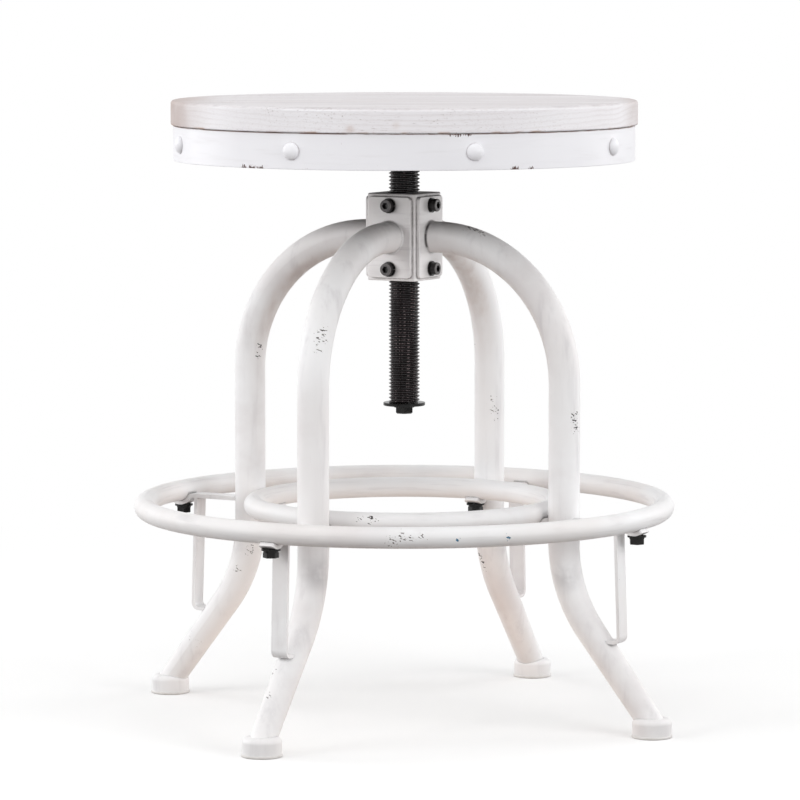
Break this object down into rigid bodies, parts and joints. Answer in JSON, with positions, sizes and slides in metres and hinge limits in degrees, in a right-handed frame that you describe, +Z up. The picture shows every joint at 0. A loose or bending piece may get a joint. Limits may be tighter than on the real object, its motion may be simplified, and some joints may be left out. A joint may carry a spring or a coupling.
{
  "type": "swivel stool",
  "caption": "Round wooden screw-lift stool with a banded seat, arched tubular legs, a foot ring and a stiffening ring.",
  "frame": {"origin": "on the floor, on the axis of the lifting screw", "axes": "+Z up along the screw; the legs stand along -Y (front), +X (right), +Y (back) and -X (left)"},
  "size_m": [0.5758, 0.5758, 0.5975],
  "materials": {
    "seat_wood": "whitewashed, matt",
    "plywood": "bare",
    "band_paint": "distressed white paint",
    "frame_paint": "distressed white paint",
    "screw_steel": "black oxide, oiled",
    "black_hardware": "black oxide",
    "plain_steel": "zinc plated",
    "glide_plastic": "moulded"
  },
  "bodies": {
    "frame": {"back_foot_cap": "frame_paint", "back_foot_glide": "glide_plastic", "back_leg_plate": "frame_paint", "back_leg_tube": "frame_paint", "back_ring_arm": "frame_paint", "back_ring_strut": "frame_paint", "back_ring_tab": "frame_paint", "front_foot_cap": "frame_paint", "front_foot_glide": "glide_plastic", "front_leg_plate": "frame_paint", "front_leg_tube": "frame_paint", "front_ring_arm": "frame_paint", "front_ring_strut": "frame_paint", "front_ring_tab": "frame_paint", "hub_block": "frame_paint", "inner_ring": "frame_paint", "inner_ring_bolts": "black_hardware", "inner_ring_lock_washers": "black_hardware", "inner_ring_nuts": "plain_steel", "inner_ring_washers": "black_hardware", "left_foot_cap": "frame_paint", "left_foot_glide": "glide_plastic", "left_leg_plate": "frame_paint", "left_leg_tube": "frame_paint", "left_ring_arm": "frame_paint", "left_ring_strut": "frame_paint", "left_ring_tab": "frame_paint", "outer_ring": "frame_paint", "outer_ring_bolts": "black_hardware", "outer_ring_lock_washers": "black_hardware", "outer_ring_nuts": "plain_steel", "outer_ring_washers": "black_hardware", "plate_lock_washers": "black_hardware", "plate_screws": "black_hardware", "right_foot_cap": "frame_paint", "right_foot_glide": "glide_plastic", "right_leg_plate": "frame_paint", "right_leg_tube": "frame_paint", "right_ring_arm": "frame_paint", "right_ring_strut": "frame_paint", "right_ring_tab": "frame_paint"},
    "lift_washer": {"stop_washer": "black_hardware"},
    "seat": {"seat_top": "seat_wood", "seat_core": "plywood", "seat_band": "band_paint", "band_rivets": "band_paint", "seat_plate": "black_hardware", "seat_plate_screws": "black_hardware", "spindle": "screw_steel", "stop_bolt": "black_hardware"}
  },
  "joints": [
    {"name": "seat_lift", "type": "slide", "parent": "frame", "child": "lift_washer", "axis": [0, 0, 1], "range_m": [-0.0317, 0.11832]},
    {"name": "seat_turn", "type": "hinge", "parent": "lift_washer", "child": "seat", "pos_m": [0, 0, 0.45], "axis": [0, 0, 1], "range_deg": [-3240, 12150]}
  ],
  "couplings": [
    {"joint": "seat_lift", "follows": "seat_turn", "m_per_rad": 0.00055704}
  ]
}
